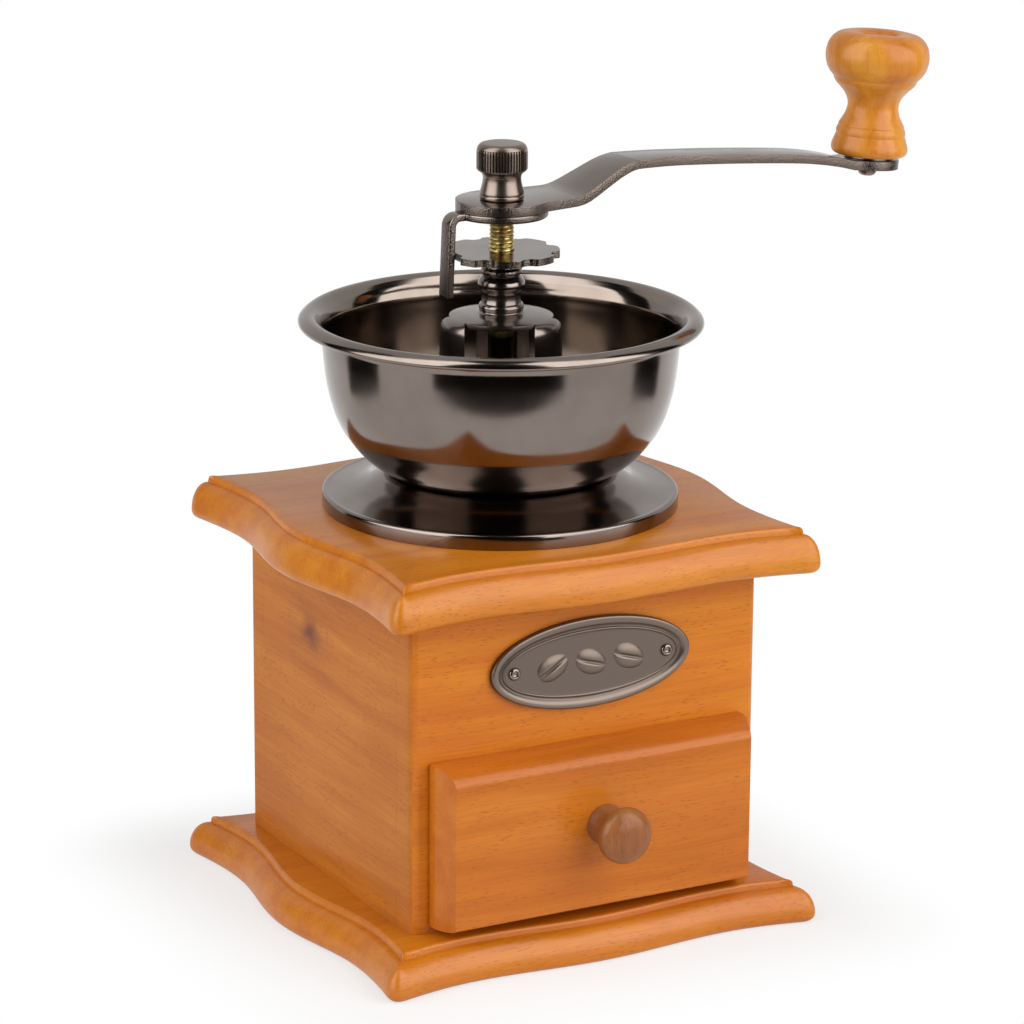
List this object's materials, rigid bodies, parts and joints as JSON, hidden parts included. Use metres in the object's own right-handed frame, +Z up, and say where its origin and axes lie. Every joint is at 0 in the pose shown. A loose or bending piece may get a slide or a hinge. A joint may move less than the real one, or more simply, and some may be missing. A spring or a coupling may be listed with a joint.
{
  "type": "hand coffee mill",
  "caption": "Wooden hand mill: a box with a drawer, an open metal hopper bowl, a burr set on a spindle and a cranked arm with a turned wooden knob.",
  "frame": {"origin": "centre of the base board's underside, on the spindle's axis", "axes": "+Z up along the spindle, the drawer front faces -Y, +X to the right of the drawer"},
  "size_m": [0.2147, 0.1439, 0.2391],
  "materials": {
    "stained_beech": "honey-stained beech under semi-gloss lacquer",
    "stained_side": "the same stain, pinker on the side walls",
    "plain_beech": "unstained beech and plywood",
    "knob_beech": "stained end grain, lacquered",
    "gunmetal": "polished black nickel",
    "bronzed_steel": "satin bronzed steel",
    "black_casting": "glossy black",
    "burr_iron": "as cast",
    "brass": "turned",
    "zinc_steel": "zinc-plated",
    "pewter": "antique pewter, matt"
  },
  "bodies": {
    "case": {"base_board": "stained_beech", "top_board": "stained_beech", "front_panel": "stained_beech", "back_panel": "stained_beech", "side_panel_left": "stained_side", "side_panel_right": "stained_side", "base_screw_1": "zinc_steel", "base_screw_2": "zinc_steel", "base_screw_3": "zinc_steel", "base_screw_4": "zinc_steel", "lid_dowel_1": "plain_beech", "lid_dowel_2": "plain_beech", "lid_dowel_3": "plain_beech", "lid_dowel_4": "plain_beech", "plaque": "pewter", "plaque_nail_left": "pewter", "plaque_nail_right": "pewter", "mounting_flange": "gunmetal", "hopper_bowl": "gunmetal", "guide_plate": "black_casting", "bridge": "black_casting", "bearing_bush": "brass", "clamp_screw_1": "zinc_steel", "clamp_screw_2": "zinc_steel", "clamp_screw_3": "zinc_steel", "outer_burr": "burr_iron", "burr_spring": "zinc_steel"},
    "wheel": {"adjusting_wheel": "bronzed_steel"},
    "crank": {"spindle": "brass", "inner_burr": "burr_iron", "burr_washer": "zinc_steel", "burr_nut": "zinc_steel", "spring_seat": "zinc_steel", "lock_bracket": "bronzed_steel", "crank_arm": "bronzed_steel", "knob_washer": "zinc_steel", "knob_rivet": "bronzed_steel"},
    "knob": {"crank_knob": "stained_beech", "knob_plug": "stained_beech"},
    "nut": {"thumb_nut": "gunmetal"},
    "drawer": {"drawer_front": "stained_beech", "drawer_side_left": "plain_beech", "drawer_side_right": "plain_beech", "drawer_back": "plain_beech", "drawer_floor": "plain_beech", "drawer_knob": "knob_beech", "drawer_knob_screw": "zinc_steel"}
  },
  "joints": [
    {"name": "crank_turn", "type": "hinge", "parent": "case", "child": "wheel", "pos_m": [0, 0, 0.185], "axis": [0, 0, 1], "continuous": true},
    {"name": "grind_gap", "type": "slide", "parent": "wheel", "child": "crank", "axis": [0, 0, 1], "range_m": [-0.0006, 0.0006], "deforming": ["burr_spring"]},
    {"name": "knob_spin", "type": "hinge", "parent": "crank", "child": "knob", "pos_m": [0.12811, 0.01121, 0.20149], "axis": [0.0782, 0.0068, 0.9969], "continuous": true},
    {"name": "thumb_nut_turn", "type": "hinge", "parent": "crank", "child": "nut", "pos_m": [0, 0, 0.21], "axis": [0, 0, 1], "range_deg": [0, 720]},
    {"name": "drawer_slide", "type": "slide", "parent": "case", "child": "drawer", "axis": [0, -1, 0], "range_m": [0, 0.07]}
  ]
}
